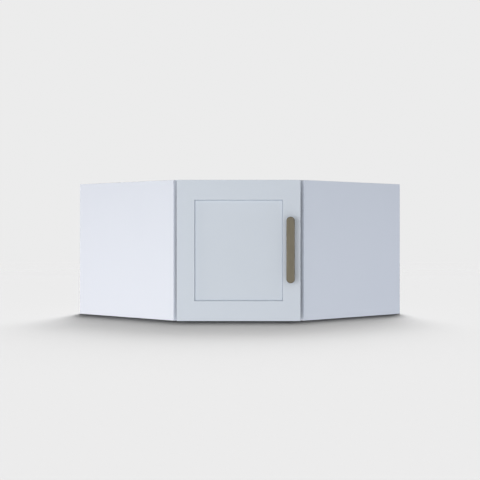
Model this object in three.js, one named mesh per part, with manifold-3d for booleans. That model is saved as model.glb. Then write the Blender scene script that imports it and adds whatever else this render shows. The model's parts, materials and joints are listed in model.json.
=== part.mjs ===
// Corner wall cabinet with one diagonal door, millimetres, +Z up.
// The door faces -Y and the two wall sides meet at the back, on the plane of symmetry.
import * as THREE from 'three';
import { mergeVertices } from 'three/addons/utils/BufferGeometryUtils.js';
import Module from 'manifold-3d';

const wasm = await Module();
wasm.setup();

// ---- body ----
const wallSide = 600; // along each wall, from the room's corner to an end panel's outer face
const endDepth = 375; // how far an end panel stands out from its wall
const bodyHeight = 343;
const boardThickness = 18;
const backThickness = 8;
const backSetIn = 16; // space behind the backs for the wall rails
const grooveDepth = 5; // how far the backs sit in the boards round them
const postSide = 28; // batten in the corner where the backs meet
const boardGap = 0.3; // between boards that butt
const cornerEase = 47; // front corners of the top and bottom, cut back along the front for the door's swing
const grooveGap = 0.25; // round a back in its groove

const dowelRadius = 4;
const dowelInEnd = 12;
const dowelInBoard = 20;
const dowelFromFront = 45; // from an end panel's front edge
const dowelFromWall = 70;
const dowelFit = 0.1;
const dowelEndRoom = 1;

// ---- door ----
const sideStrip = 9.2; // an end panel's edge beside the door, seen from the front
const doorReveal = 0.6; // body showing over and under the door
const doorThickness = 20;
const doorBack = 2; // from the body's front plane to the door's back face
const stileWidth = 43;
const railHeight = 48.5;
const panelThickness = 6;
const panelSetBack = 5.5; // from the door's face to the centre panel's face
const tongue = 6; // panel and rail tongues in the grooves
const tongueShoulder = 2; // from a rail's long edges to its tongues
const doorEdgeEase = 1; // bevel round the door's face and back
const openingEase = 1; // bevel round the opening, on the door's face
const panelFit = 0.2;

// ---- handle ----
const handleLength = 160;
const handleWidth = 20;
const handleThickness = 9;
const handleReach = 19; // from the door's face to the handle's back
const handleOverhang = 16; // from a screw to the handle's nearer end
const handleFromEdge = 24.8; // from the door's free edge to the handle's middle
const handleRaise = 1.5; // from the door's mid height to the handle's middle
const handleEdgeRound = 2.5;
const footRadius = 6;
const footNeckRadius = 4.6;
const screwRadius = 2;
const screwHeadRadius = 4.2;
const screwHeadHeight = 2.4;
const screwInFoot = 11;
const screwFit = 0.3;

// ---- hinges ----
const hingeFromEnd = 75; // from the door's top or bottom edge to a hinge's middle
const cupFromEdge = 20.5;
const cupRadius = 17.5;
const cupDepth = 12;
const cupWall = 1;
const cupFit = 0.3;
const flangeThickness = 1.4;
const flangeHalfLength = 31;
const flangeRadius = 19;
const flangeScrewSpacing = 48;
const flangeScrewFromEdge = 30;
const woodScrewRadius = 1.8;
const woodScrewHeadRadius = 3.6;
const woodScrewHead = 1.8;
const woodScrewLength = 12;
const pinRadius = 1.4;
const pinRoom = 0.3; // running fit of a lever's eye on its pin
// pivots from the door's hinge edge and back face, door shut
const outerArmPivot = [33, 13];
const outerCupPivot = [12.5, -3.43];
const innerArmPivot = [27.4, 2.3];
const innerCupPivot = [10.25, -9];
const eyeRadius = 2.9;
const leverHalfThickness = 1.1;
const outerLeverInside = 4.9; // from the hinge's middle to a cheek of the outer lever
const outerLeverOutside = 6.7;
const innerLeverHalfWidth = 4.2;
const pinStart = 4.6; // from the hinge's middle to an outer lever's pin
const tipShort = 4; // from the open pivot to the inner lever's tip
const armCheekInside = 8;
const armCheekOutside = 9.8;
const armHeight = 9;
const armTail = 24; // from the plate screws to the arm's rear end
const armWeb = 2;
const armReach = 18; // the arm's web ahead of the plate screws
const pinEdge = 2.6; // sheet round an arm pin
const cheekFoot = 4; // where the arm's cheeks meet its web, from the panel's front corner
const cheekShoulder = 12;
const adjusterFromMiddle = 9; // from the plate screws to an adjusting screw, along the arm
const adjusterRadius = 2;
const adjusterHeadRadius = 3.4;
const adjusterHead = 1.6;
const plateFromFront = 37; // from an end panel's front edge to the plate screws
const plateThickness = 5;
const plateWing = 2.5; // thickness at the screws
const screwSeat = 0.1; // under a plate screw's head
const plateScrewSpacing = 32;
const plateHalfHeight = 24;
const plateWidth = 16;
const plateRidge = [20, 22, 7]; // ahead of the screws, behind them, and to each side

// ---- hangers ----
const hangerDepth = 42; // along the end panel
const hangerThickness = 17; // out from the end panel
const hangerHeight = 50;
const hangerFromTop = 5;
const hookWidth = 9;
const hookThickness = 3;
const hookDrop = 12;
const hookFit = 0.4;
const coverWall = 1.4;
const coverFit = 0.3;
const bufferRadius = 4;
const bufferFromEdge = 14;

const halfRoot = Math.SQRT1_2;
const sides = 40; // facets round a turned piece

// ---- finishes ----
const paint = { color: 0xd9dee6, roughness: 0.42, metalness: 0 };
const innerBoard = { color: 0xdfe2e6, roughness: 0.55, metalness: 0 };
const beech = { color: 0xc9a878, roughness: 0.7, metalness: 0 };
const bronze = { color: 0x80796b, roughness: 0.38, metalness: 0.9 };
const nickel = { color: 0xb9bcc0, roughness: 0.28, metalness: 1 };
const zinc = { color: 0xa9adb2, roughness: 0.45, metalness: 1 };
const greyPlastic = { color: 0xc4c6c8, roughness: 0.5, metalness: 0 };
const clearRubber = { color: 0xd6d8d6, roughness: 0.6, metalness: 0 };

// A closed solid from a geometry, for cuts and joins.
function solid(geometry) {
  const bare = geometry.clone();
  bare.deleteAttribute('normal');
  bare.deleteAttribute('uv');
  const merged = mergeVertices(bare, 1e-4);
  return new wasm.Manifold(new wasm.Mesh({
    numProp: 3,
    vertProperties: new Float32Array(merged.attributes.position.array),
    triVerts: new Uint32Array(merged.index.array),
  }));
}

function geometryOf(body) {
  const mesh = body.getMesh();
  const geometry = new THREE.BufferGeometry();
  geometry.setAttribute('position', new THREE.BufferAttribute(mesh.vertProperties, 3));
  geometry.setIndex(new THREE.BufferAttribute(mesh.triVerts, 1));
  const flat = geometry.toNonIndexed();
  flat.computeVertexNormals();
  return flat;
}

function addNode(group, name, body, finish) {
  const mesh = new THREE.Mesh(geometryOf(body), new THREE.MeshStandardMaterial(finish));
  mesh.name = name;
  group.add(mesh);
  return mesh;
}

function block(low, high) {
  const size = [0, 1, 2].map((i) => high[i] - low[i]);
  const geometry = new THREE.BoxGeometry(...size);
  geometry.translate(...[0, 1, 2].map((i) => (low[i] + high[i]) / 2));
  return solid(geometry);
}

// A plan outline raised from one height to another.
function raised(points, zLow, zHigh) {
  const shape = new THREE.Shape(points.map(([x, y]) => new THREE.Vector2(x, y)));
  const geometry = new THREE.ExtrudeGeometry(shape, { depth: zHigh - zLow, bevelEnabled: false });
  geometry.translate(0, 0, zLow);
  return solid(geometry);
}

// A round rod between two points.
function rod(from, to, radius, facets = sides) {
  const start = new THREE.Vector3(...from);
  const along = new THREE.Vector3(...to).sub(start);
  const geometry = new THREE.CylinderGeometry(radius, radius, along.length(), facets);
  geometry.applyQuaternion(new THREE.Quaternion().setFromUnitVectors(
    new THREE.Vector3(0, 1, 0), along.clone().normalize()));
  geometry.translate(...start.addScaledVector(along, 0.5).toArray());
  return solid(geometry);
}

// Profile points are [radius, y], lowest y first, turned about the Y axis through x, z.
function turned(profile, x, z, facets = sides) {
  const points = profile.map(([r, y]) => new THREE.Vector2(r, y));
  const geometry = new THREE.LatheGeometry(points, facets);
  geometry.translate(x, 0, z);
  return solid(geometry);
}

const frontWidth = (wallSide - endDepth) * Math.SQRT2;
const doorWidth = frontWidth - 2 * sideStrip;
const doorHeight = bodyHeight - 2 * doorReveal;

// The whole cabinet is centred front to back, from the handle to the room's corner.
const cornerY = (wallSide + endDepth) * halfRoot;
const foremostY = -doorBack - doorThickness - handleReach - handleThickness;
const root = new THREE.Group();
root.name = 'corner_wall_cabinet';
root.position.y = -(cornerY + foremostY) / 2;

// Body frame: the room's corner at the origin, p along the left wall, q along the right wall.
const carcass = new THREE.Group();
carcass.name = 'body';
carcass.rotation.z = -Math.PI * 0.75;
carcass.position.y = cornerY;
root.add(carcass);

const innerFace = wallSide - boardThickness;
const frontSum = wallSide + endDepth; // p + q on the front plane
const boardReach = innerFace - boardGap; // where the top and bottom end
const cornerCut = (frontSum + (frontWidth - 2 * cornerEase) * halfRoot) / 2; // p where the front edge ends
const roomLow = boardThickness;
const roomHigh = bodyHeight - boardThickness;
const backFront = backSetIn + backThickness;

// Swaps p and q, to make a left-hand box into its right-hand twin.
function sided(isLeft, low, high) {
  const swap = ([p, q, z]) => (isLeft ? [p, q, z] : [q, p, z]);
  return block(swap(low), swap(high));
}
function sidedRod(isLeft, from, to, radius, facets) {
  const swap = ([p, q, z]) => (isLeft ? [p, q, z] : [q, p, z]);
  return rod(swap(from), swap(to), radius, facets);
}

const boardLevels = [
  { name: 'bottom_panel', level: 'lower', low: 0, groove: [roomLow - grooveDepth, roomLow] },
  { name: 'top_panel', level: 'upper', low: roomHigh, groove: [roomHigh, roomHigh + grooveDepth] },
];
const dowelPlaces = [
  { name: 'front', at: endDepth - dowelFromFront },
  { name: 'rear', at: dowelFromWall },
];

// the grooves for the backs stop at the corner and run through the boards beside them
function backGroove(isLeft, zLow, zHigh, reach) {
  return sided(isLeft, [backSetIn - grooveGap, backSetIn - grooveGap, zLow],
    [reach, backFront + grooveGap, zHigh]);
}

const hingeLevels = [
  { name: 'upper', z: doorHeight - hingeFromEnd },
  { name: 'lower', z: hingeFromEnd },
];

for (const side of ['left', 'right']) {
  const isLeft = side === 'left';
  let end = sided(isLeft, [innerFace, 0, 0], [wallSide, endDepth, bodyHeight]);
  end = end.subtract(backGroove(isLeft, roomLow - grooveDepth, roomHigh + grooveDepth,
    innerFace + grooveDepth + boardGap));
  for (const board of boardLevels) {
    for (const place of dowelPlaces) {
      const z = board.low + boardThickness / 2;
      const hole = sidedRod(isLeft, [innerFace - 1, place.at, z],
        [innerFace + dowelInEnd + dowelEndRoom, place.at, z], dowelRadius + dowelFit, 24);
      end = end.subtract(hole);
      addNode(carcass, `${side}_${board.level}_${place.name}_dowel`,
        sidedRod(isLeft, [innerFace - dowelInBoard, place.at, z],
          [innerFace + dowelInEnd, place.at, z], dowelRadius, 24), beech);
    }
  }
  if (isLeft) {
    for (const hinge of hingeLevels) {
      for (const way of [-1, 1]) {
        const z = doorReveal + hinge.z + way * plateScrewSpacing / 2;
        end = end.subtract(rod([innerFace - 1, endDepth - plateFromFront, z],
          [innerFace + woodScrewLength + 1, endDepth - plateFromFront, z],
          woodScrewRadius + screwFit, 20));
      }
    }
  }
  addNode(carcass, `${side}_end_panel`, end, paint);

  const hookSlot = sided(isLeft,
    [innerFace - boardGap - hangerThickness / 2 - hookWidth / 2 - hookFit, backSetIn - 1,
      roomHigh - hangerFromTop - hangerHeight / 2 - 9],
    [innerFace - boardGap - hangerThickness / 2 + hookWidth / 2 + hookFit, backFront + 1,
      roomHigh - hangerFromTop - hangerHeight / 2 + 9]);
  const start = isLeft ? backSetIn : backFront + boardGap;
  const back = sided(isLeft, [start, backSetIn, roomLow - grooveDepth + grooveGap],
    [innerFace + grooveDepth, backFront, roomHigh + grooveDepth - grooveGap]);
  addNode(carcass, `${side}_back_panel`, back.subtract(hookSlot), innerBoard);
}

for (const board of boardLevels) {
  let panel = raised([
    [0, 0], [boardReach, 0], [boardReach, endDepth], [cornerCut, frontSum - cornerCut],
    [frontSum - cornerCut, cornerCut], [endDepth, boardReach], [0, boardReach],
  ], board.low, board.low + boardThickness);
  for (const isLeft of [true, false]) {
    panel = panel.subtract(backGroove(isLeft, board.groove[0], board.groove[1], wallSide));
    for (const place of dowelPlaces) {
      const z = board.low + boardThickness / 2;
      panel = panel.subtract(sidedRod(isLeft,
        [innerFace - dowelInBoard - dowelEndRoom, place.at, z],
        [innerFace + 1, place.at, z], dowelRadius + dowelFit, 24));
    }
  }
  addNode(carcass, board.name, panel, paint);
}

addNode(carcass, 'corner_post', block(
  [backFront + boardGap, backFront + boardGap, roomLow + boardGap],
  [backFront + boardGap + postSide, backFront + boardGap + postSide, roomHigh - boardGap],
), innerBoard);

// ---- hangers: a housing against each end panel, its hook through the back ----
for (const side of ['left', 'right']) {
  const isLeft = side === 'left';
  const outer = innerFace - boardGap;
  const inner = outer - hangerThickness;
  const middle = (outer + inner) / 2;
  const high = roomHigh - hangerFromTop;
  const low = high - hangerHeight;
  const centre = (high + low) / 2;
  const rear = backFront + boardGap;
  const pocket = sided(isLeft,
    [middle - hookWidth / 2 - hookFit, rear - 1, centre - 6],
    [middle + hookWidth / 2 + hookFit, rear + hangerDepth - 12, centre + 6]);
  const housing = sided(isLeft, [inner, rear, low], [outer, rear + hangerDepth, high])
    .subtract(pocket);
  addNode(carcass, `${side}_hanger_housing`, housing, greyPlastic);
  const shank = sided(isLeft, [middle - hookWidth / 2, 4, centre - hookThickness / 2],
    [middle + hookWidth / 2, rear + hangerDepth - 14, centre + hookThickness / 2]);
  const lip = sided(isLeft, [middle - hookWidth / 2, 4, centre - hookDrop],
    [middle + hookWidth / 2, 4 + hookThickness, centre]);
  addNode(carcass, `${side}_hanger_hook`, shank.add(lip), zinc);
  const capLow = [inner - coverFit - coverWall, rear, low - coverFit - coverWall];
  const capHigh = [outer, rear + hangerDepth + coverFit + coverWall, high + coverFit + coverWall];
  const cap = sided(isLeft, capLow, capHigh).subtract(sided(isLeft,
    [inner - coverFit, rear - 1, low - coverFit],
    [outer + 1, rear + hangerDepth + coverFit, high + coverFit]));
  addNode(carcass, `${side}_hanger_cover`, cap, greyPlastic);
}

// ---- door: x from its hinge edge, y from its back face, z from its bottom edge ----
const door = new THREE.Group();
door.name = 'door';
door.position.set(-doorWidth / 2, -doorBack, doorReveal);
root.add(door);

const panelFace = -doorThickness + panelSetBack;
const panelRear = panelFace + panelThickness;

// Bores for the hinge cups and holes for their screws.
function cupHoles(body) {
  let cut = body;
  for (const hinge of hingeLevels) {
    cut = cut.subtract(rod([cupFromEdge, 1, hinge.z], [cupFromEdge, -cupDepth - cupFit, hinge.z],
      cupRadius + cupFit, 64));
    for (const way of [-1, 1]) {
      const z = hinge.z + way * flangeScrewSpacing / 2;
      cut = cut.subtract(rod([flangeScrewFromEdge, 1, z],
        [flangeScrewFromEdge, -woodScrewLength - 1, z], woodScrewRadius + screwFit, 20));
    }
  }
  return cut;
}

const slotLow = panelFace - panelFit;
const slotHigh = panelRear + panelFit;

// A slab across X and Z with both faces' edges bevelled, its face at y low and its back at y high.
function easedSlab(low, high, ease) {
  const shape = new THREE.Shape([
    new THREE.Vector2(low[0] + ease, low[2] + ease), new THREE.Vector2(high[0] - ease, low[2] + ease),
    new THREE.Vector2(high[0] - ease, high[2] - ease), new THREE.Vector2(low[0] + ease, high[2] - ease),
  ]);
  const geometry = new THREE.ExtrudeGeometry(shape, {
    depth: high[1] - low[1] - 2 * ease, bevelEnabled: true, bevelSegments: 1,
    bevelSize: ease, bevelThickness: ease,
  });
  geometry.rotateX(Math.PI / 2);
  geometry.translate(0, high[1] - ease, 0);
  return solid(geometry);
}

const blank = easedSlab([0, -doorThickness, 0], [doorWidth, 0, doorHeight], doorEdgeEase);
// cuts the bevel round the opening: its small end is the opening, inside the door's thickness
const openingCut = easedSlab(
  [stileWidth - openingEase, -doorThickness - 4, railHeight - openingEase],
  [doorWidth - stileWidth + openingEase, -doorThickness + openingEase,
    doorHeight - railHeight + openingEase], openingEase);

function stile(isHinge) {
  const xLow = isHinge ? -1 : doorWidth - stileWidth;
  const xHigh = isHinge ? stileWidth : doorWidth + 1;
  const slotX = isHinge ? [stileWidth - tongue - panelFit, stileWidth + 1]
    : [doorWidth - stileWidth - 1, doorWidth - stileWidth + tongue + panelFit];
  return blank
    .intersect(block([xLow, -doorThickness - 1, -1], [xHigh, 1, doorHeight + 1]))
    .subtract(block([slotX[0], slotLow, -1], [slotX[1], slotHigh, doorHeight + 1]))
    .subtract(openingCut);
}

const handleX = doorWidth - handleFromEdge;
const handleHoles = handleLength - 2 * handleOverhang;
const handleMiddle = doorHeight / 2 + handleRaise;
const handleZ = [-1, 1].map((way) => handleMiddle + way * handleHoles / 2);

let handleStile = stile(false);
for (const z of handleZ) {
  handleStile = handleStile.subtract(rod([handleX, 1, z], [handleX, -doorThickness - 1, z],
    screwRadius + screwFit, 24));
}
addNode(door, 'door_hinge_stile', cupHoles(stile(true)), paint);
addNode(door, 'door_handle_stile', handleStile, paint);

// A rail runs between the stiles, with a tongue at each end in their grooves.
for (const isTop of [true, false]) {
  const z = (height) => (isTop ? doorHeight - height : height);
  const between = (a, b) => [Math.min(z(a), z(b)), Math.max(z(a), z(b))];
  const [railLow, railHigh] = between(-1, railHeight);
  const [tongueLow, tongueHigh] = between(tongueShoulder, railHeight - tongueShoulder);
  const [slotBase, slotTop] = between(railHeight - tongue - panelFit, railHeight + 1);
  const rail = blank
    .intersect(block([stileWidth, -doorThickness - 1, railLow],
      [doorWidth - stileWidth, 1, railHigh]))
    .add(block([stileWidth - tongue, panelFace, tongueLow],
      [doorWidth - stileWidth + tongue, panelRear, tongueHigh]))
    .subtract(block([stileWidth - tongue - 1, slotLow, slotBase],
      [doorWidth - stileWidth + tongue + 1, slotHigh, slotTop]))
    .subtract(openingCut);
  addNode(door, isTop ? 'door_top_rail' : 'door_bottom_rail', rail, paint);
}
addNode(door, 'door_panel', cupHoles(block(
  [stileWidth - tongue, panelFace, railHeight - tongue],
  [doorWidth - stileWidth + tongue, panelRear, doorHeight - railHeight + tongue],
)), paint);

// ---- handle: a flat bar with round ends on two turned feet ----
const barBack = -doorThickness - handleReach;
function barOutline(shrink) {
  const shape = new THREE.Shape();
  const radius = handleWidth / 2 - shrink;
  const half = handleLength / 2 - handleWidth / 2;
  shape.absarc(0, half, radius, 0, Math.PI, false);
  shape.absarc(0, -half, radius, Math.PI, Math.PI * 2, false);
  shape.closePath();
  return shape;
}
const bar = new THREE.ExtrudeGeometry(barOutline(handleEdgeRound), {
  depth: handleThickness - 2 * handleEdgeRound, bevelEnabled: true, bevelSegments: 3,
  bevelSize: handleEdgeRound, bevelThickness: handleEdgeRound, curveSegments: 20,
});
bar.rotateX(Math.PI / 2);
bar.translate(handleX, barBack - handleEdgeRound, handleMiddle);
let barBody = solid(bar);
for (const z of handleZ) {
  barBody = barBody.subtract(rod([handleX, barBack + 1, z], [handleX, barBack - 3, z],
    footNeckRadius - 1 + screwFit, 32));
}
addNode(door, 'handle_bar', barBody, bronze);

handleZ.forEach((z, index) => {
  const level = index ? 'upper' : 'lower';
  const face = -doorThickness;
  const foot = turned([
    [0, barBack - 2.8], [footNeckRadius - 1, barBack - 2.8], [footNeckRadius - 1, barBack],
    [footNeckRadius, barBack], [footNeckRadius, face - 4], [footRadius, face - 2],
    [footRadius, face], [0, face],
  ], handleX, z).subtract(rod([handleX, face + 1, z], [handleX, face - screwInFoot - 1, z],
    screwRadius + 0.1, 24));
  addNode(door, `handle_${level}_foot`, foot, bronze);
  const screw = turned([
    [0, face - screwInFoot], [screwRadius, face - screwInFoot], [screwRadius, 0],
    [screwHeadRadius, 0], [screwHeadRadius, screwHeadHeight - 1],
    [screwHeadRadius - 1, screwHeadHeight], [0, screwHeadHeight],
  ], handleX, z).subtract(block([handleX - 2.6, screwHeadHeight - 1, z - 0.5],
    [handleX + 2.6, screwHeadHeight + 1, z + 0.5]));
  addNode(door, `handle_${level}_screw`, screw, zinc);
});

for (const [name, z] of [['lower', bufferFromEdge], ['upper', doorHeight - bufferFromEdge]]) {
  addNode(door, `${name}_buffer`, rod([doorWidth - bufferFromEdge - 6, 0, z],
    [doorWidth - bufferFromEdge - 6, 1.4, z], bufferRadius, 24), clearRubber);
}

// ---- hinges ----
// Arm frame: the left end panel's inner front corner, x into the room, y along the panel rearwards.
const panelCorner = [
  -(wallSide - endDepth) * halfRoot + boardThickness * halfRoot + doorWidth / 2,
  boardThickness * halfRoot + doorBack,
];
function inArmFrame([x, y]) {
  const dx = x - panelCorner[0];
  const dy = y - panelCorner[1];
  return [(dx + dy) * halfRoot, (dy - dx) * halfRoot];
}

// A straight strap with a round eye at each end, as an outline in plan.
function strap(from, to, fromRadius, toRadius, halfThickness, zLow, zHigh) {
  const direction = Math.atan2(to[1] - from[1], to[0] - from[0]);
  const across = [-Math.sin(direction) * halfThickness, Math.cos(direction) * halfThickness];
  let body = raised([
    [from[0] - across[0], from[1] - across[1]], [to[0] - across[0], to[1] - across[1]],
    [to[0] + across[0], to[1] + across[1]], [from[0] + across[0], from[1] + across[1]],
  ], zLow, zHigh);
  if (fromRadius) {
    body = body.add(rod([...from, zLow], [...from, zHigh], fromRadius, 28));
  }
  if (toRadius) {
    body = body.add(rod([...to, zLow], [...to, zHigh], toRadius, 28));
  }
  return body;
}

function along(from, to, share) {
  return [from[0] + (to[0] - from[0]) * share, from[1] + (to[1] - from[1]) * share];
}

// A screw with a cross in its head, pointing along -Y, the head's underside at the origin.
function crossScrew(radius, length, headRadius, head) {
  const arm = headRadius * 0.55;
  const halfSlot = 0.4;
  return turned([
    [0, -length], [radius, 1.5 - length], [radius, 0], [headRadius, 0],
    [headRadius, head / 2], [headRadius - head / 2, head], [0, head],
  ], 0, 0, 24)
    .subtract(block([-arm, head - 0.8, -halfSlot], [arm, head + 1, halfSlot]))
    .subtract(block([-halfSlot, head - 0.8, -arm], [halfSlot, head + 1, arm]));
}
const woodScrew = crossScrew(woodScrewRadius, woodScrewLength, woodScrewHeadRadius, woodScrewHead);
const adjuster = crossScrew(adjusterRadius, armWeb + boardGap + plateThickness - 2,
  adjusterHeadRadius, adjusterHead);

for (const hinge of hingeLevels) {
  const name = (piece) => `${hinge.name}_hinge_${piece}`;
  const z = hinge.z;

  // cup with its flange and both cup pins
  const inner = cupRadius - cupWall;
  let cup = turned([
    [0, -cupDepth], [cupRadius - 1, -cupDepth], [cupRadius, -cupDepth + 1], [cupRadius, 0],
    [flangeRadius, 0], [flangeRadius, flangeThickness], [0, flangeThickness],
  ], cupFromEdge, z);
  const wings = block([flangeScrewFromEdge - 6, 0, z - flangeHalfLength],
    [flangeScrewFromEdge + 6, flangeThickness, z + flangeHalfLength]);
  cup = cup.add(wings).subtract(turned([
    [0, -cupDepth + cupWall], [inner - 1, -cupDepth + cupWall], [inner, -cupDepth + cupWall + 1],
    [inner, flangeThickness + 1], [0, flangeThickness + 1],
  ], cupFromEdge, z));
  for (const way of [-1, 1]) {
    const screwZ = z + way * flangeScrewSpacing / 2;
    cup = cup.subtract(rod([flangeScrewFromEdge, -1, screwZ],
      [flangeScrewFromEdge, flangeThickness + 1, screwZ], woodScrewRadius + screwFit, 20));
    const screw = addNode(door, name(`cup_screw_${way > 0 ? 'high' : 'low'}`), woodScrew, zinc);
    screw.position.set(flangeScrewFromEdge, flangeThickness, screwZ);
  }
  // outer pins stand in from the wall on each side, the inner one lies on a block
  const pinEnd = Math.sqrt(inner ** 2 - (outerCupPivot[0] - cupFromEdge) ** 2) + cupWall / 2;
  for (const way of [-1, 1]) {
    cup = cup.add(rod([...outerCupPivot, z + way * pinStart], [...outerCupPivot, z + way * pinEnd],
      pinRadius, 20));
  }
  cup = cup.add(rod([...innerCupPivot, z - innerLeverHalfWidth],
    [...innerCupPivot, z + innerLeverHalfWidth], pinRadius, 20));
  cup = cup.add(block([innerCupPivot[0] - pinRadius, -cupDepth + cupWall / 2, z - 2],
    [innerCupPivot[0] + pinRadius, innerCupPivot[1], z + 2]));
  addNode(door, name('cup'), cup, nickel);

  // outer lever: two cheeks joined by a bridge near the arm
  const share = (from) => along(outerCupPivot, outerArmPivot, from);
  const direction = Math.atan2(outerArmPivot[1] - outerCupPivot[1],
    outerArmPivot[0] - outerCupPivot[0]);
  let outer = null;
  for (const [low, high] of [[-outerLeverOutside, -outerLeverInside],
    [outerLeverInside, outerLeverOutside]]) {
    const cheek = strap(outerCupPivot, outerArmPivot, eyeRadius, eyeRadius, leverHalfThickness,
      z + low, z + high);
    outer = outer ? outer.add(cheek) : cheek;
  }
  const bridgeShift = [-Math.sin(direction) * 1.2, Math.cos(direction) * 1.2];
  const bridgeEnds = [share(0.5), share(0.8)].map(([x, y]) => [x + bridgeShift[0], y + bridgeShift[1]]);
  outer = outer.add(strap(bridgeEnds[0], bridgeEnds[1], 0, 0, 0.9,
    z - outerLeverOutside + 0.5, z + outerLeverOutside - 0.5));
  for (const pivot of [outerCupPivot, outerArmPivot]) {
    outer = outer.subtract(rod([...pivot, z - armCheekOutside], [...pivot, z + armCheekOutside], pinRadius + pinRoom, 24));
  }
  addNode(door, name('outer_lever'), outer, nickel);

  // inner lever: one broad strap, its tip short of the open pivot
  const length = Math.hypot(innerArmPivot[0] - innerCupPivot[0],
    innerArmPivot[1] - innerCupPivot[1]);
  const tip = along(innerCupPivot, innerArmPivot, tipShort / length);
  const innerLever = strap(tip, innerArmPivot, 0, eyeRadius, leverHalfThickness,
    z - innerLeverHalfWidth, z + innerLeverHalfWidth)
    .subtract(rod([...innerArmPivot, z - armCheekOutside], [...innerArmPivot, z + armCheekOutside],
      pinRadius + pinRoom, 24));
  addNode(door, name('inner_lever'), innerLever, nickel);

  // arm and plate stand on the left end panel
  const mount = new THREE.Group();
  mount.name = name('mount');
  mount.position.set(panelCorner[0] - doorWidth / 2, panelCorner[1] - doorBack, doorReveal + z);
  mount.rotation.z = Math.PI / 4;
  root.add(mount);
  const outerPin = inArmFrame(outerArmPivot);
  const innerPin = inArmFrame(innerArmPivot);
  const plateLow = boardGap;
  const plateTop = plateLow + plateThickness;
  let plate = block([plateLow, plateFromFront - plateWidth / 2, -plateHalfHeight],
    [plateLow + plateWing, plateFromFront + plateWidth / 2, plateHalfHeight]);
  plate = plate.add(block([plateLow, plateFromFront - plateRidge[0], -plateRidge[2]],
    [plateTop, plateFromFront + plateRidge[1], plateRidge[2]]));
  for (const way of [-1, 1]) {
    const screwZ = way * plateScrewSpacing / 2;
    plate = plate.subtract(rod([-1, plateFromFront, screwZ], [plateTop + 1, plateFromFront, screwZ],
      woodScrewRadius + screwFit, 20));
    const screw = addNode(mount, name(`plate_screw_${way > 0 ? 'high' : 'low'}`), woodScrew, zinc);
    screw.rotation.z = -Math.PI / 2;
    screw.position.set(plateLow + plateWing + screwSeat, plateFromFront, screwZ);
  }
  const armLow = plateTop + boardGap;
  const cheekOutline = [
    [armLow, plateFromFront + armTail], [armLow, cheekFoot],
    [innerPin[0] - pinEdge, innerPin[1] + pinEdge - 0.6],
    [innerPin[0] - pinEdge, innerPin[1] - pinEdge],
    [innerPin[0] + pinEdge - 0.6, innerPin[1] - pinEdge],
    [outerPin[0] + pinEdge, outerPin[1] - pinEdge],
    [outerPin[0] + pinEdge, outerPin[1] + pinEdge + 0.4], [armLow + armHeight, cheekShoulder],
    [armLow + armHeight, plateFromFront + armTail],
  ];
  let arm = block([armLow, plateFromFront - armReach, -armCheekOutside],
    [armLow + armWeb, plateFromFront + armTail, armCheekOutside]);
  for (const [low, high] of [[-armCheekOutside, -armCheekInside], [armCheekInside, armCheekOutside]]) {
    arm = arm.add(raised(cheekOutline.slice().reverse(), low, high));
  }
  for (const way of [-1, 1]) {
    arm = arm.add(rod([...outerPin, way * pinStart], [...outerPin, way * armCheekOutside],
      pinRadius, 20));
  }
  arm = arm.add(rod([...innerPin, -armCheekOutside], [...innerPin, armCheekOutside],
    pinRadius, 20));
  for (const [piece, way] of [['side_screw', -1], ['depth_screw', 1]]) {
    const y = plateFromFront + way * adjusterFromMiddle;
    const hole = rod([plateLow + 1, y, 0], [armLow + armWeb + 1, y, 0],
      adjusterRadius + screwFit, 20);
    plate = plate.subtract(hole);
    arm = arm.subtract(hole);
    const screw = addNode(mount, name(piece), adjuster, zinc);
    screw.rotation.z = -Math.PI / 2;
    screw.position.set(armLow + armWeb + screwSeat, y, 0);
  }
  addNode(mount, name('plate'), plate, nickel);
  addNode(mount, name('arm'), arm, nickel);
}

export default root;
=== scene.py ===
import json
import math

import bmesh
import bpy
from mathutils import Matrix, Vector


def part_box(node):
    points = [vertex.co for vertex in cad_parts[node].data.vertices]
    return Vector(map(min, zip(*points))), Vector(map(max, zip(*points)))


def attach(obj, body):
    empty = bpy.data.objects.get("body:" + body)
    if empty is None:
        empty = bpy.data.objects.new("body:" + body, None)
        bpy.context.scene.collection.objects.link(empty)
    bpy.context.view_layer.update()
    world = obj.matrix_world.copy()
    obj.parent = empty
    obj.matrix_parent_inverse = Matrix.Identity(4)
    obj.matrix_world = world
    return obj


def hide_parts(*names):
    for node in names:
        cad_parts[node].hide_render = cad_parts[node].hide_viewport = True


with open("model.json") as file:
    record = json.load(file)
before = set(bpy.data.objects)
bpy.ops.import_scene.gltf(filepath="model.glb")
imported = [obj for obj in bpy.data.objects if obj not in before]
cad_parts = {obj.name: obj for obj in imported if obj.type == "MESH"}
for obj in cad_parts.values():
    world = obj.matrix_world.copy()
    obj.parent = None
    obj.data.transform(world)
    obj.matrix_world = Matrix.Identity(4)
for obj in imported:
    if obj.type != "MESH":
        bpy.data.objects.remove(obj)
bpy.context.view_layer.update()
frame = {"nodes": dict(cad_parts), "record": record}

scene = bpy.context.scene
halfRoot = math.sqrt(0.5)
sameSpot = 1e-7  # points nearer than this count as one
bodyOf = {node: body for body, nodes in frame["record"]["behaviour"]["bodies"].items()
          for node in nodes}


# Node groups and materials

def nodeGroup(name, inputs, outputs):
    # A group with its named sockets, and its start and end nodes.
    group = bpy.data.node_groups.new(name, "ShaderNodeTree")
    for label, kind, value in inputs:
        socket = group.interface.new_socket(label, in_out="INPUT", socket_type="NodeSocket" + kind)
        if value is not None:
            socket.default_value = value
    for label, kind in outputs:
        group.interface.new_socket(label, in_out="OUTPUT", socket_type="NodeSocket" + kind)
    return group, group.nodes.new("NodeGroupInput"), group.nodes.new("NodeGroupOutput")


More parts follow.
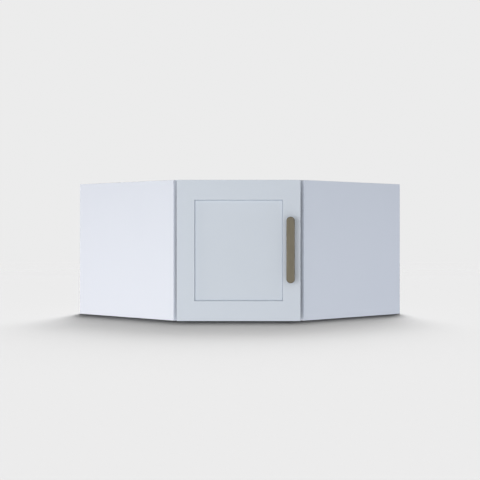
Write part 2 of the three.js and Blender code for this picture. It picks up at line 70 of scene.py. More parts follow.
def place(tree, kind, values=None, links=None, **settings):
    # A new node with its values, links and settings.
    node = tree.nodes.new(kind)
    for key, value in settings.items():
        setattr(node, key, value)
    for key, value in (values or {}).items():
        node.inputs[key].default_value = value
    for key, source in (links or {}).items():
        tree.links.new(source, node.inputs[key])
    return node


def compute(tree, operation, first, second):
    # One step of arithmetic on two values, which are numbers or sockets.
    node = tree.nodes.new("ShaderNodeMath")
    node.operation = operation
    for index, value in enumerate((first, second)):
        if isinstance(value, (int, float)):
            node.inputs[index].default_value = value
        else:
            tree.links.new(value, node.inputs[index])
    return node.outputs[0]


def makeGrainGroup():
    # Fine relief and faint clouds: size in metres, for lacquer, melamine, plastic and rubber.
    group, start, end = nodeGroup("fineGrain", [
        ("Position", "Vector", None), ("Tint", "Color", (0.8, 0.8, 0.8, 1)),
        ("Cloud Tint", "Color", (0.7, 0.7, 0.7, 1)), ("Cloud Amount", "Float", 0.5),
        ("Cloud Size", "Float", 0.12), ("Grain Size", "Float", 0.002),
        ("Speck Size", "Float", 0.0004), ("Speck Amount", "Float", 0.02),
        ("Roughness", "Float", 0.4), ("Roughness Spread", "Float", 0.06),
    ], [("Color", "Color"), ("Roughness", "Float"), ("Height", "Float")])
    socket = start.outputs
    cloud = place(group, "ShaderNodeTexNoise", {"Detail": 3.0, "Roughness": 0.55}, {
        "Vector": socket["Position"], "Scale": compute(group, "DIVIDE", 1.0, socket["Cloud Size"])})
    grain = place(group, "ShaderNodeTexNoise", {"Detail": 2.0, "Roughness": 0.5}, {
        "Vector": socket["Position"], "Scale": compute(group, "DIVIDE", 1.0, socket["Grain Size"])})
    speck = place(group, "ShaderNodeTexNoise", {"Detail": 1.0}, {
        "Vector": socket["Position"], "Scale": compute(group, "DIVIDE", 1.0, socket["Speck Size"])})
    spread = place(group, "ShaderNodeMapRange", {"From Min": 0.3, "From Max": 0.7},
                   {"Value": cloud.outputs["Fac"]})
    amount = compute(group, "MULTIPLY", spread.outputs["Result"], socket["Cloud Amount"])
    tint = place(group, "ShaderNodeMix", None, {
        "Factor": amount, "A": socket["Tint"], "B": socket["Cloud Tint"]}, data_type="RGBA")
    fleck = compute(group, "MULTIPLY", compute(group, "SUBTRACT", speck.outputs["Fac"], 0.5),
                  socket["Speck Amount"])
    gain = compute(group, "ADD", 1.0, fleck)
    colour = place(group, "ShaderNodeVectorMath", None, {0: tint.outputs["Result"], 1: gain},
                   operation="MULTIPLY")
    rough = compute(group, "ADD", socket["Roughness"], compute(
        group, "MULTIPLY", compute(group, "SUBTRACT", grain.outputs["Fac"], 0.5),
        socket["Roughness Spread"]))
    height = compute(group, "ADD", grain.outputs["Fac"],
                   compute(group, "MULTIPLY", speck.outputs["Fac"], 0.25))
    group.links.new(colour.outputs["Vector"], end.inputs["Color"])
    group.links.new(rough, end.inputs["Roughness"])
    group.links.new(height, end.inputs["Height"])
    return group


def makeBrushGroup():
    # Fine parallel lines along one direction, for brushed, rolled and turned metal.
    group, start, end = nodeGroup("brushLines", [
        ("Position", "Vector", None), ("Stretch", "Vector", (1, 1, 0.03)),
        ("Tint", "Color", (0.5, 0.5, 0.5, 1)), ("Line Tint", "Color", (0.3, 0.3, 0.3, 1)),
        ("Line Size", "Float", 0.0003), ("Contrast", "Float", 0.5),
        ("Roughness", "Float", 0.35), ("Roughness Spread", "Float", 0.1),
        ("Stain Size", "Float", 0.03), ("Stain Amount", "Float", 0.08),
    ], [("Color", "Color"), ("Roughness", "Float"), ("Height", "Float")])
    socket = start.outputs
    along = place(group, "ShaderNodeVectorMath", None,
                  {0: socket["Position"], 1: socket["Stretch"]}, operation="MULTIPLY")
    lines = place(group, "ShaderNodeTexNoise", {"Detail": 4.0, "Roughness": 0.65}, {
        "Vector": along.outputs["Vector"],
        "Scale": compute(group, "DIVIDE", 1.0, socket["Line Size"])})
    stain = place(group, "ShaderNodeTexNoise", {"Detail": 3.0}, {
        "Vector": socket["Position"], "Scale": compute(group, "DIVIDE", 1.0, socket["Stain Size"])})
    sharp = place(group, "ShaderNodeMapRange", {"From Min": 0.35, "From Max": 0.65},
                  {"Value": lines.outputs["Fac"]})
    amount = compute(group, "MULTIPLY", sharp.outputs["Result"], socket["Contrast"])
    stained = compute(group, "ADD", amount, compute(
        group, "MULTIPLY", compute(group, "SUBTRACT", stain.outputs["Fac"], 0.5),
        socket["Stain Amount"]))
    tint = place(group, "ShaderNodeMix", None, {
        "Factor": stained, "A": socket["Tint"], "B": socket["Line Tint"]}, data_type="RGBA")
    rough = compute(group, "ADD", socket["Roughness"], compute(
        group, "MULTIPLY", compute(group, "SUBTRACT", lines.outputs["Fac"], 0.5),
        socket["Roughness Spread"]))
    group.links.new(tint.outputs["Result"], end.inputs["Color"])
    group.links.new(rough, end.inputs["Roughness"])
    group.links.new(lines.outputs["Fac"], end.inputs["Height"])
    return group


def makeFibreGroup():
    # Wood fibres with growth bands, for the dowels.
    group, start, end = nodeGroup("woodFibre", [
        ("Position", "Vector", None), ("Tint", "Color", (0.6, 0.4, 0.2, 1)),
        ("Band Tint", "Color", (0.45, 0.28, 0.14, 1)), ("Fibre Size", "Float", 0.0006),
        ("Band Size", "Float", 0.004), ("Roughness", "Float", 0.6),
    ], [("Color", "Color"), ("Roughness", "Float"), ("Height", "Float")])
    socket = start.outputs
    along = place(group, "ShaderNodeVectorMath", {1: (0.12, 0.12, 1.0)},
                  {0: socket["Position"]}, operation="MULTIPLY")
    fibre = place(group, "ShaderNodeTexNoise", {"Detail": 5.0, "Roughness": 0.7}, {
        "Vector": along.outputs["Vector"],
        "Scale": compute(group, "DIVIDE", 1.0, socket["Fibre Size"])})
    band = place(group, "ShaderNodeTexWave", {"Distortion": 3.0, "Detail": 2.0}, {
        "Vector": socket["Position"], "Scale": compute(group, "DIVIDE", 0.3, socket["Band Size"])},
        bands_direction="Z")
    blend = compute(group, "MULTIPLY", band.outputs["Fac"], fibre.outputs["Fac"])
    tint = place(group, "ShaderNodeMix", None, {
        "Factor": blend, "A": socket["Tint"], "B": socket["Band Tint"]}, data_type="RGBA")
    rough = compute(group, "ADD", socket["Roughness"],
                  compute(group, "MULTIPLY", fibre.outputs["Fac"], 0.15))
    group.links.new(tint.outputs["Result"], end.inputs["Color"])
    group.links.new(rough, end.inputs["Roughness"])
    group.links.new(fibre.outputs["Fac"], end.inputs["Height"])
    return group


groups = {"grain": makeGrainGroup(), "brush": makeBrushGroup(), "fibre": makeFibreGroup()}

finishes = {
    "doorLacquer": {
        "slot": "paint", "group": "grain", "bump": 0.25, "depth": 0.00004,
        "values": {"Tint": (0.649, 0.706, 0.775, 1), "Cloud Tint": (0.634, 0.691, 0.763, 1),
                   "Cloud Amount": 0.5, "Cloud Size": 0.14, "Grain Size": 0.0024,
                   "Speck Size": 0.00035, "Speck Amount": 0.02, "Roughness": 0.42,
                   "Roughness Spread": 0.05},
        "shader": {"Specular IOR Level": 0.4},
    },
    "edgeBand": {  # painted light: on the front edges of the end panels, a paler copy of the lacquer that lightens the strips lying in the door's shade
        "slot": "edge_band",  # no node has this slot, the painted-light band is a second finish on a panel
        "group": "grain", "bump": 0.2, "depth": 0.00003,
        "values": {"Tint": (0.8, 0.845, 0.92, 1), "Cloud Tint": (0.786, 0.83, 0.907, 1),
                   "Cloud Amount": 0.5, "Cloud Size": 0.05, "Grain Size": 0.0016,
                   "Speck Size": 0.0003, "Speck Amount": 0.03, "Roughness": 0.46,
                   "Roughness Spread": 0.06},
        "shader": {"Specular IOR Level": 0.4},
    },
    "innerMelamine": {
        "slot": "inner_board", "group": "grain", "bump": 0.3, "depth": 0.00003,
        "values": {"Tint": (0.72, 0.74, 0.76, 1), "Cloud Tint": (0.69, 0.71, 0.735, 1),
                   "Cloud Amount": 0.6, "Cloud Size": 0.05, "Grain Size": 0.0011,
                   "Speck Size": 0.00025, "Speck Amount": 0.05, "Roughness": 0.55,
                   "Roughness Spread": 0.08},
        "shader": {"Specular IOR Level": 0.35},
    },
    "handleBronze": {
        "slot": "bronze", "group": "brush", "bump": 0.35, "depth": 0.00002,
        "values": {"Stretch": (1, 1, 0.02), "Tint": (0.167, 0.148, 0.108, 1),
                   "Line Tint": (0.111, 0.098, 0.07, 1), "Line Size": 0.0005, "Contrast": 0.8,
                   "Roughness": 0.42, "Roughness Spread": 0.16, "Stain Size": 0.03,
                   "Stain Amount": 0.1},
        "shader": {"Metallic": 0.7, "Specular IOR Level": 0.4},
    },
    "hingeNickel": {
        "slot": "nickel", "group": "brush", "bump": 0.12, "depth": 0.00001,
        "values": {"Stretch": (0.25, 0.25, 1), "Tint": (0.62, 0.61, 0.59, 1),
                   "Line Tint": (0.5, 0.495, 0.485, 1), "Line Size": 0.0004, "Contrast": 0.4,
                   "Roughness": 0.24, "Roughness Spread": 0.1, "Stain Size": 0.01,
                   "Stain Amount": 0.12},
        "shader": {"Metallic": 1.0},
    },
    "screwZinc": {
        "slot": "zinc", "group": "brush", "bump": 0.2, "depth": 0.00002,
        "values": {"Stretch": (1, 1, 1), "Tint": (0.56, 0.58, 0.6, 1),
                   "Line Tint": (0.42, 0.45, 0.5, 1), "Line Size": 0.0007, "Contrast": 0.5,
                   "Roughness": 0.32, "Roughness Spread": 0.14, "Stain Size": 0.004,
                   "Stain Amount": 0.2},
        "shader": {"Metallic": 1.0},
    },
    "hangerNylon": {
        "slot": "grey_plastic", "group": "grain", "bump": 0.35, "depth": 0.00003,
        "values": {"Tint": (0.5, 0.515, 0.53, 1), "Cloud Tint": (0.46, 0.475, 0.49, 1),
                   "Cloud Amount": 0.5, "Cloud Size": 0.02, "Grain Size": 0.0006,
                   "Speck Size": 0.0002, "Speck Amount": 0.05, "Roughness": 0.5,
                   "Roughness Spread": 0.1},
        "shader": {"Specular IOR Level": 0.45},
    },
    "bufferRubber": {
        "slot": "clear_rubber", "group": "grain", "bump": 0.15, "depth": 0.00002,
        "values": {"Tint": (0.72, 0.73, 0.72, 1), "Cloud Tint": (0.66, 0.67, 0.66, 1),
                   "Cloud Amount": 0.4, "Cloud Size": 0.004, "Grain Size": 0.0008,
                   "Speck Size": 0.0002, "Speck Amount": 0.03, "Roughness": 0.25,
                   "Roughness Spread": 0.06},
        "shader": {"Subsurface Weight": 0.3, "Subsurface Scale": 0.002},
    },
    "dowelBeech": {
        "slot": "beech", "group": "fibre", "bump": 0.3, "depth": 0.00005,
        "values": {"Tint": (0.56, 0.38, 0.21, 1), "Band Tint": (0.42, 0.26, 0.13, 1),
                   "Fibre Size": 0.0007, "Band Size": 0.004, "Roughness": 0.58},
        "shader": {"Specular IOR Level": 0.3},
    },
}


def makeFinish(name, finish):
    material = bpy.data.materials.new(name)
    material.use_nodes = True
    tree = material.node_tree
    shader = tree.nodes["Principled BSDF"]
    for key, value in finish["shader"].items():
        shader.inputs[key].default_value = value
    spot = place(tree, "ShaderNodeTexCoord")
    surface = tree.nodes.new("ShaderNodeGroup")
    surface.node_tree = groups[finish["group"]]
    for key, value in finish["values"].items():
        surface.inputs[key].default_value = value
    tree.links.new(spot.outputs["Object"], surface.inputs["Position"])
    bump = place(tree, "ShaderNodeBump", {"Strength": finish["bump"], "Distance": finish["depth"]},
                 {"Height": surface.outputs["Height"]})
    tree.links.new(surface.outputs["Color"], shader.inputs["Base Color"])
    tree.links.new(surface.outputs["Roughness"], shader.inputs["Roughness"])
    tree.links.new(bump.outputs["Normal"], shader.inputs["Normal"])
    return material


materials = {name: makeFinish(name, finish) for name, finish in finishes.items()}
finishOf = {finish["slot"]: name for name, finish in finishes.items()}
slotOf = {part["node"]: part["material_slot"] for part in frame["record"]["subparts"]}
print("finishes made:", len(materials))


# Mesh helpers

def meshObject(name, work):
    # Turns a bmesh into an object of the scene.
    mesh = bpy.data.meshes.new(name)
    work.to_mesh(mesh)
    work.free()
    made = bpy.data.objects.new(name, mesh)
    scene.collection.objects.link(made)
    return made


def finishPiece(name, work, nodes, finishName, sharpAngle=40):
    # Turns a bmesh into a piece that stands for CAD nodes and rides on their body.
    bmesh.ops.recalc_face_normals(work, faces=work.faces)
    for face in work.faces:
        face.smooth = True
    for edge in work.edges:
        if edge.is_manifold and edge.calc_face_angle() > math.radians(sharpAngle):
            edge.smooth = False
    piece = meshObject(name, work)
    piece.data.materials.append(materials[finishName])
    even = piece.modifiers.new("even normals", "WEIGHTED_NORMAL")
    even.keep_sharp = True
    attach(piece, bodyOf[nodes[0]])
    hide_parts(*nodes)
    return piece


def roundEdges(work, edges, radius, steps):
    # Rounds edges over the given distance from each.
    bmesh.ops.bevel(work, geom=list(edges), offset=radius, offset_type="OFFSET", segments=steps,
                    profile=0.5, affect="EDGES", clamp_overlap=True)


def joinRings(work, rings):
    # Faces between each ring of corners and the next.
    for first, second in zip(rings, rings[1:]):
        for index in range(len(first)):
            after = (index + 1) % len(first)
            work.faces.new((first[index], first[after], second[after], second[index]))


def prism(outline, low, high, axis=2):
    # A closed prism over a flat outline, along Z or Y.
    def point(a, b, c):
        return (a, b, c) if axis == 2 else (a, c, b)
    work = bmesh.new()
    lower = [work.verts.new(point(a, b, low)) for a, b in outline]
    upper = [work.verts.new(point(a, b, high)) for a, b in outline]
    work.faces.new(lower)
    work.faces.new(upper)
    for index in range(len(outline)):
        after = (index + 1) % len(outline)
        work.faces.new((lower[index], lower[after], upper[after], upper[index]))
    bmesh.ops.recalc_face_normals(work, faces=work.faces)
    return work


def arc(centreX, centreY, radius, start, end, steps):
    # Points round an arc, start and end in degrees.
    angles = [math.radians(start + (end - start) * step / steps) for step in range(steps + 1)]
    return [(centreX + radius * math.cos(angle), centreY + radius * math.sin(angle))
            for angle in angles]


# Body boards

body = {
    "wallSide": 0.6,  # along each wall
    "endDepth": 0.375,  # depth of the end panels
    "board": 0.018,
    "gap": 0.0003,
    "cutBack": 0.047,  # along the front, off each front corner of a board, for the door's swing
    "paintRound": 0.0005,  # edges of the end panels
    "panelSteps": 4,
    "boardRound": 0.0005,  # edges of the top and bottom board
    "boardSteps": 2,
    "bandReach": 0.6,  # how far the painted-light band, a paler lacquer on the shaded front edges, runs round an end panel's edges, as a cosine
}
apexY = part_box("top_panel")[1].y


def wallPoint(p, q):
    # p and q are distances along the two walls from the room's corner.
    return (halfRoot * (q - p), apexY - halfRoot * (p + q))


def makeEndPanel(side):
    low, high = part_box(side + "_end_panel")
    inner, outer, depth = body["wallSide"] - body["board"], body["wallSide"], body["endDepth"]
    corners = [(inner, 0), (outer, 0), (outer, depth), (inner, depth)]
    if side == "right":
        corners = [(q, p) for p, q in corners]
    work = prism([wallPoint(p, q) for p, q in corners], low.z, high.z)
    roundEdges(work, work.edges, body["paintRound"], body["panelSteps"])
    panel = finishPiece(side + "EndPanel", work, [side + "_end_panel"], "doorLacquer")
    panel.data.materials.append(materials["edgeBand"])  # the panel's second slot: a paler lacquer, painted light on the shaded front edges
    # faces turned towards the door's edge get the paler lacquer, painted light for the strip in the
    # door's shade
    paintedLightFacing = Vector((halfRoot if side == "left" else -halfRoot, -halfRoot, 0))
    for face in panel.data.polygons:
        if face.normal.dot(paintedLightFacing) > body["bandReach"]:
            face.material_index = 1
    return panel


def makeBoard(name, node):
    low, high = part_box(node)
    edge, depth = body["wallSide"] - body["board"] - body["gap"], body["endDepth"]
    cutFar = body["wallSide"] - halfRoot * body["cutBack"]
    cutNear = depth + halfRoot * body["cutBack"]
    corners = [(0, 0), (edge, 0), (edge, depth), (cutFar, cutNear), (cutNear, cutFar),
               (depth, edge), (0, edge)]
    work = prism([wallPoint(p, q) for p, q in corners], low.z, high.z)
    roundEdges(work, work.edges, body["boardRound"], body["boardSteps"])
    return finishPiece(name, work, [node], "doorLacquer")


for side in ("left", "right"):
    makeEndPanel(side)
makeBoard("topBoard", "top_panel")
makeBoard("bottomBoard", "bottom_panel")
print("body boards made")


# Door

door = {
    "outerRound": 0.0005,
    "openingRound": 0.0006,
    "backRound": 0.0008,
    "tongue": 0.006,
    "panelFit": 0.0002,
    "roundSteps": 4,
    "grooveIn": 0.0001,  # from the opening to the groove round the panel
    "grooveWidth": 0.0015,
    "grooveDepth": 0.0018,
    "grooveFlank": 0.3,  # share of the groove's width that each sloping side takes
}
stileLow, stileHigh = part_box("door_hinge_stile")
doorLeft, doorFace, doorBottom = stileLow
doorBack, doorTop = stileHigh.y, stileHigh.z
openLeft = stileHigh.x
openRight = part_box("door_handle_stile")[0].x
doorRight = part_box("door_handle_stile")[1].x
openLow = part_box("door_bottom_rail")[1].z
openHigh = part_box("door_top_rail")[0].z
panelFace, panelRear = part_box("door_panel")[0].y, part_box("door_panel")[1].y


def doorRing():
    # The whole frame in one mitred ring. A point of its profile says whether it is measured from
    # the door's outer edge or from the opening, how far into the wood, and how deep.
    steps, outer, inner, back = (door["roundSteps"], door["outerRound"], door["openingRound"],
                                 door["backRound"])
    thick = doorBack - doorFace
    slotLow = panelFace - door["panelFit"] - doorFace
    slotHigh = panelRear + door["panelFit"] - doorFace
    tongue = door["tongue"] + door["panelFit"]
    profile = [(True, a, b) for a, b in arc(outer, outer, outer, 180, 270, steps)]
    profile += [(False, -a, b) for a, b in arc(-inner, inner, inner, 270, 360, steps)]
    profile += [(False, 0, slotLow), (False, tongue, slotLow), (False, tongue, slotHigh),
                (False, 0, slotHigh)]
    profile += [(False, -a, b) for a, b in arc(-back, thick - back, back, 0, 90, steps)]
    profile += [(True, a, b) for a, b in arc(back, thick - back, back, 90, 180, steps)]
    work = bmesh.new()
    rings = []
    for fromOuter, distance, depth in profile:
        if fromOuter:
            xLow, xHigh = doorLeft + distance, doorRight - distance
            zLow, zHigh = doorBottom + distance, doorTop - distance
        else:
            xLow, xHigh = openLeft - distance, openRight + distance
            zLow, zHigh = openLow - distance, openHigh + distance
        y = doorFace + depth
        rings.append([work.verts.new(corner) for corner in (
            (xLow, y, zLow), (xHigh, y, zLow), (xHigh, y, zHigh), (xLow, y, zHigh))])
    joinRings(work, rings + rings[:1])
    bmesh.ops.recalc_face_normals(work, faces=work.faces)
    for x in (openLeft, openRight):  # seams between stiles and rails
        bmesh.ops.bisect_plane(work, geom=work.verts[:] + work.edges[:] + work.faces[:],
                               dist=sameSpot, plane_co=(x, 0, 0), plane_no=(1, 0, 0))
    return work


def makeFramePiece(name, node, keep):
    # The part of the ring that keep says yes to, closed at its seams.
    work = doorRing()
    spare = [face for face in work.faces if not keep(face.calc_center_median())]
    bmesh.ops.delete(work, geom=spare, context="FACES")
    openEdges = [edge for edge in work.edges if edge.is_boundary]
    bmesh.ops.holes_fill(work, edges=openEdges, sides=0)
    return finishPiece(name, work, [node], "doorLacquer")


seamSlack = 1e-6
leftSeam, rightSeam = openLeft + seamSlack, openRight - seamSlack
doorMiddle = (doorBottom + doorTop) / 2
hingeStile = makeFramePiece("hingeStile", "door_hinge_stile", lambda c: c.x < leftSeam)
makeFramePiece("handleStile", "door_handle_stile", lambda c: c.x > rightSeam)
makeFramePiece("topRail", "door_top_rail",
               lambda c: leftSeam < c.x < rightSeam and c.z > doorMiddle)
makeFramePiece("bottomRail", "door_bottom_rail",
               lambda c: leftSeam < c.x < rightSeam and c.z < doorMiddle)


def makeDoorPanel():
    # A flat panel with a fine groove just inside the frame.
    low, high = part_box("door_panel")
    start, width, depth = door["grooveIn"], door["grooveWidth"], door["grooveDepth"]
    flank = door["grooveFlank"] * width
    groove = [(start, 0.0), (start + flank, depth), (start + width - flank, depth),
              (start + width, 0.0)]
    work = bmesh.new()

    def ring(xLow, xHigh, zLow, zHigh, y):
        return [work.verts.new(corner) for corner in (
            (xLow, y, zLow), (xHigh, y, zLow), (xHigh, y, zHigh), (xLow, y, zHigh))]
    rings = [ring(low.x, high.x, low.z, high.z, y) for y in (high.y, low.y)]
    for inset, down in groove:
        rings.append(ring(openLeft + inset, openRight - inset, openLow + inset, openHigh - inset,
                          low.y + down))
    work.faces.new(rings[0])
    work.faces.new(rings[-1])
    joinRings(work, rings)
    return finishPiece("doorPanel", work, ["door_panel"], "doorLacquer", 25)


makeDoorPanel()


def cutBores(piece, cutters):
    # Cuts each cutter out of a piece and keeps the result as its mesh.
    for cutter in cutters:
        cut = piece.modifiers.new("bore", "BOOLEAN")
        cut.operation, cut.solver, cut.object = "DIFFERENCE", "EXACT", cutter
        while piece.modifiers[0] != cut:
            bpy.context.view_layer.objects.active = piece
            piece.modifiers.move(len(piece.modifiers) - 1, 0)
    bpy.context.view_layer.update()
    even = piece.modifiers["even normals"]
    even.show_viewport = False
    depsgraph = bpy.context.evaluated_depsgraph_get()
    result = bpy.data.meshes.new_from_object(piece.evaluated_get(depsgraph))
    for modifier in list(piece.modifiers):
        if modifier.type == "BOOLEAN":
            piece.modifiers.remove(modifier)
    piece.data = result
    even.show_viewport = True
    for cutter in cutters:
        bpy.data.objects.remove(cutter)


cup = {
    "radius": 0.0175,
    "fit": 0.0003,
    "depth": 0.0124,  # of the bore
    "fromEdge": 0.0205,
    "sides": 96,
    "cutterPast": 0.004,  # how far the cutter stands out of the door's back
}


def cupCutter(node):
    low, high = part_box(node)
    centreX, centreZ = doorLeft + cup["fromEdge"], (low.z + high.z) / 2
    outline = arc(centreX, centreZ, cup["radius"] + cup["fit"], 0, 360, cup["sides"])[:-1]
    work = prism(outline, doorBack - cup["depth"], doorBack + cup["cutterPast"], axis=1)
    return meshObject("cutter", work)


cutBores(hingeStile, [cupCutter("upper_hinge_cup"), cupCutter("lower_hinge_cup")])
print("door made")


# Handle

handle = {
    "edgeRound": 0.0016,
    "roundSteps": 6,
    "endSteps": 28,  # facets round each end of the bar
    "footSteps": 64,  # facets round a foot
    "neckShare": 0.767,  # a foot's neck over its base, in radius
    # the rim of a foot's base, from the door outwards: how far inside the base's radius, height
    "baseRim": ((0.0004, 0.0), (0.0001, 0.0002), (0.0, 0.0006), (0.0, 0.0022), (0.0002, 0.0028)),
    "hollowFrom": 0.003,  # height where the base starts to narrow to its neck
    "hollowHeight": 0.0012,
    "neckEnd": 0.0005,  # last stretch of the neck, against the bar
}


def makeHandleBar():
    low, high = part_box("handle_bar")
    radius = (high.x - low.x) / 2
    centre = (low.x + high.x) / 2
    outline = arc(centre, high.z - radius, radius, 0, 180, handle["endSteps"])
    outline += arc(centre, low.z + radius, radius, 180, 360, handle["endSteps"])
    work = prism(outline, low.y, high.y, axis=1)
    rim = [edge for edge in work.edges
           if abs(edge.verts[0].co.y - edge.verts[1].co.y) < sameSpot]
    roundEdges(work, rim, handle["edgeRound"], handle["roundSteps"])
    return finishPiece("handleBar", work, ["handle_bar"], "handleBronze", 60)


def turned(profile, centreX, centreZ, steps):
    # Spins (radius, y) points round a line along Y.
    work = bmesh.new()
    rings = []
    for radius, y in profile:
        rings.append([work.verts.new((centreX + radius * math.cos(2 * math.pi * step / steps), y,
                                      centreZ + radius * math.sin(2 * math.pi * step / steps)))
                      for step in range(steps)])
    joinRings(work, rings)
    work.faces.new(rings[0])
    work.faces.new(rings[-1])
    return work


def makeFoot(which):
    node = f"handle_{which}_foot"
    low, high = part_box(node)
    wide = (high.x - low.x) / 2
    neck = wide * handle["neckShare"]
    centreX, centreZ = (low.x + high.x) / 2, (low.z + high.z) / 2
    profile = [(wide - inside, high.y - height) for inside, height in handle["baseRim"]]
    for angle in range(0, 91, 15):
        turn = math.radians(angle)
        height = handle["hollowFrom"] + handle["hollowHeight"] * (1 - math.cos(turn))
        profile.append((neck + (wide - neck) * (1 - math.sin(turn)), high.y - height))
    profile += [(neck, low.y + handle["neckEnd"]), (neck, low.y)]
    work = turned(profile, centreX, centreZ, handle["footSteps"])
    return finishPiece(which + "Foot", work, [node], "handleBronze")


makeHandleBar()
for which in ("upper", "lower"):
    makeFoot(which)
print("handle made")


# Fittings: the CAD shapes with their sharp edges eased

fittings = {
    "hinge": {"words": ("_hinge_",), "ease": 0.0002, "steps": 2},
    "hanger": {"words": ("_hanger_",), "ease": 0.0005, "steps": 2},
    "buffer": {"words": ("_buffer",), "ease": 0.0003, "steps": 2},
    "handleScrew": {"words": ("handle_upper_screw", "handle_lower_screw"), "ease": 0.0002,
                    "steps": 2},
    "back": {"words": ("_back_panel", "corner_post"), "ease": 0.0004, "steps": 2},
}

easing = {  # how the CAD shapes' edges are found
    "weld": 2e-6,  # corners of neighbouring facets nearer than this are joined
    "flat": 0.5,  # degrees: facets that meet flatter than this become one
    "sharp": 35,  # degrees: edges sharper than this are eased
}


def camelName(node):
    first, *rest = node.split("_")
    return first + "".join(word.capitalize() for word in rest)


def easedCopy(node, ease, steps):
    work = bmesh.new()
    work.from_mesh(frame["nodes"][node].data)
    bmesh.ops.remove_doubles(work, verts=work.verts, dist=easing["weld"])
    bmesh.ops.dissolve_limit(work, angle_limit=math.radians(easing["flat"]), verts=work.verts,
                             edges=work.edges)
    # only outward edges: easing an inward one would add metal in a joint's clearance
    sharp = [edge for edge in work.edges if edge.is_manifold
             and edge.calc_face_angle_signed() > math.radians(easing["sharp"])]
    roundEdges(work, sharp, ease, steps)
    return finishPiece(camelName(node), work, [node], finishOf[slotOf[node]])


for kind in fittings.values():
    for node in sorted(frame["nodes"]):
        if any(word in node for word in kind["words"]) and not node.startswith("door_"):
            easedCopy(node, kind["ease"], kind["steps"])

for node, shown in frame["nodes"].items():
    if not shown.hide_render:
        shown.data.materials.clear()
        shown.data.materials.append(materials[finishOf[slotOf[node]]])
print("fittings made")


# Studio

studio = {
    "backdrop": (0.838, 0.838, 0.838, 1),  # what the camera sees behind the floor
    "ambient": 0.18,
    "floorTint": (0.15, 0.15, 0.15, 1),
    "floorGlow": 0.3,  # light that the floor throws back on the cabinet
    "floorRings": (0.6, 1.5, 4.0, 9.0),  # radii
    "floorReach": (2.5, 6.0),  # the floor fades into the backdrop between these radii
    "lampDistance": 3,
    "skyStrength": 17.0,
    "skyTurn": 3,  # degrees that the bank stands to the right of straight behind the cabinet
    # each lamp of the bank: degrees up, degrees wide, share of the light
    "skyLamps": ((80, 14, 0.18), (70, 14, 0.27), (60, 14, 0.07), (50, 14, 0.035), (35, 14, 0.052),
                 (28, 14, 0.034), (40, 30, 0.128), (30, 30, 0.231)),
}
softboxes = {  # place, target, diameter, watts, tint; they light the cabinet alone
    "front": ((0.0, -2.75, 0.08), (0, 0, 0.17), 3.6, 37.6, (1.0, 1.0, 1.0)),
    "frontLeft": ((-1.0, -2.7, 0.2), (0, 0, 0.17), 0.9, 11.6, (1.0, 1.0, 1.0)),
    "left": ((-2.6, -0.4, -0.12), (0, 0, 0.17), 1.5, 33.9, (1.0, 0.92, 0.92)),
    "right": ((2.6, -0.4, -0.03), (0, 0, 0.17), 1.5, 18.3, (0.885, 0.88, 1.0)),
    "rearLeft": ((-1.7, 2.1, 0.9), (0, 0, 0.17), 1.5, 20, (1.0, 1.0, 1.0)),
    "rearRight": ((1.7, 2.1, 0.9), (0, 0, 0.17), 1.5, 15, (1.0, 1.0, 1.0)),
    "top": ((0.0, 0.7, 2.4), (0, 0.1, 0.34), 2.4, 15, (1.0, 1.0, 1.0)),
}


def makeFloor():
    work = bmesh.new()
    rings = []
    for radius in studio["floorRings"]:
        rings.append([work.verts.new((radius * math.cos(math.radians(angle)),
                                      radius * math.sin(math.radians(angle)), 0))
                      for angle in range(0, 360, 6)])
    work.faces.new(rings[0])
    joinRings(work, rings)
    bmesh.ops.recalc_face_normals(work, faces=work.faces)
    floor = meshObject("studioFloor", work)
    material = bpy.data.materials.new("studioFloor")
    material.use_nodes = True
    tree = material.node_tree
    tree.nodes.clear()
    spot = place(tree, "ShaderNodeTexCoord")
    reach = place(tree, "ShaderNodeVectorMath", None, {0: spot.outputs["Object"]},
                  operation="LENGTH")
    fade = place(tree, "ShaderNodeMapRange", {
        "From Min": studio["floorReach"][0], "From Max": studio["floorReach"][1]},
        {"Value": reach.outputs["Value"]}, interpolation_type="SMOOTHSTEP")
    matt = place(tree, "ShaderNodeBsdfDiffuse", {"Color": studio["floorTint"]})
    glow = place(tree, "ShaderNodeEmission", {"Strength": studio["floorGlow"]})
    path = place(tree, "ShaderNodeLightPath")
    ground = place(tree, "ShaderNodeMixShader", None, {
        0: path.outputs["Is Camera Ray"], 1: glow.outputs[0], 2: matt.outputs[0]})
    clear = place(tree, "ShaderNodeBsdfTransparent")
    mix = place(tree, "ShaderNodeMixShader", None, {
        0: fade.outputs["Result"], 1: ground.outputs[0], 2: clear.outputs[0]})
    place(tree, "ShaderNodeOutputMaterial", None, {"Surface": mix.outputs[0]})
    floor.data.materials.append(material)
    return floor


def makeWorld():
    world = bpy.data.worlds.new("studioAir")
    scene.world = world
    world.use_nodes = True
    tree = world.node_tree
    tree.nodes.clear()
    path = place(tree, "ShaderNodeLightPath")
    seen = place(tree, "ShaderNodeBackground", {"Color": studio["backdrop"], "Strength": 1.0})
    felt = place(tree, "ShaderNodeBackground", {"Color": (1, 1, 1, 1),
                                                "Strength": studio["ambient"]})
    mix = place(tree, "ShaderNodeMixShader", None, {
        0: path.outputs["Is Camera Ray"], 1: felt.outputs[0], 2: seen.outputs[0]})
    place(tree, "ShaderNodeOutputWorld", None, {"Surface": mix.outputs[0]})


def aim(thing, target):
    direction = Vector(target) - thing.location
    thing.rotation_euler = direction.to_track_quat("-Z", "Y").to_euler()


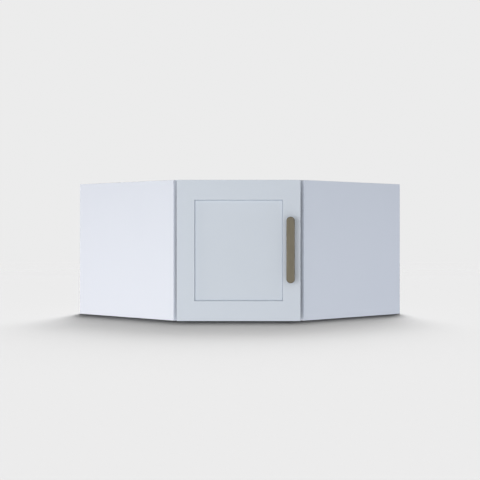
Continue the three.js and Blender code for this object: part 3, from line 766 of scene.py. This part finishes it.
def makeLights(floor, pieces):
    onlyFloor = bpy.data.collections.new("studioGround")
    onlyFloor.objects.link(floor)
    turn = math.radians(studio["skyTurn"])
    for height, width, share in studio["skyLamps"]:  # a bank of soft lamps, one above the other
        up = math.radians(height)
        data = bpy.data.lights.new(f"skyLamp{height}", "SUN")
        data.energy = studio["skyStrength"] * share / math.sin(up)  # the floor gets the share
        data.angle = math.radians(width)
        lamp = bpy.data.objects.new(f"skyLamp{height}", data)
        scene.collection.objects.link(lamp)
        lamp.location = studio["lampDistance"] * Vector((
            math.cos(up) * math.sin(turn), math.cos(up) * math.cos(turn), math.sin(up)))
        aim(lamp, (0, 0, 0))
        lamp.light_linking.receiver_collection = onlyFloor
    onlyCabinet = bpy.data.collections.new("cabinetPieces")
    for piece in pieces:
        onlyCabinet.objects.link(piece)
    for name, (spot, target, size, watts, tint) in softboxes.items():
        data = bpy.data.lights.new(name + "Softbox", "AREA")
        data.shape, data.size, data.energy, data.color = "DISK", size, watts, tint
        lamp = bpy.data.objects.new(name + "Softbox", data)
        scene.collection.objects.link(lamp)
        lamp.location = spot
        aim(lamp, target)
        lamp.visible_camera = False
        lamp.light_linking.receiver_collection = onlyCabinet
        lamp.light_linking.blocker_collection = onlyCabinet


camera = {
    "spot": (0.036, -3.34, 0.212),
    "lens": 92.9,
    "sensor": 36,
    "shift": (-0.0281, -0.0131),
    "clip": (0.05, 60),
}


def makeCamera():
    data = bpy.data.cameras.new("photoView")
    data.lens, data.sensor_width = camera["lens"], camera["sensor"]
    data.shift_x, data.shift_y = camera["shift"]
    data.clip_start, data.clip_end = camera["clip"]
    view = bpy.data.objects.new("photoView", data)
    view.location = camera["spot"]
    view.rotation_euler = (math.radians(90), 0, 0)  # level, looking along +Y
    scene.collection.objects.link(view)
    scene.camera = view


floor = makeFloor()
makeWorld()
makeLights(floor, [thing for thing in scene.objects if thing.type == "MESH" and thing != floor])
makeCamera()
scene.view_settings.view_transform = "Standard"
scene.view_settings.look = "None"
print("studio made")
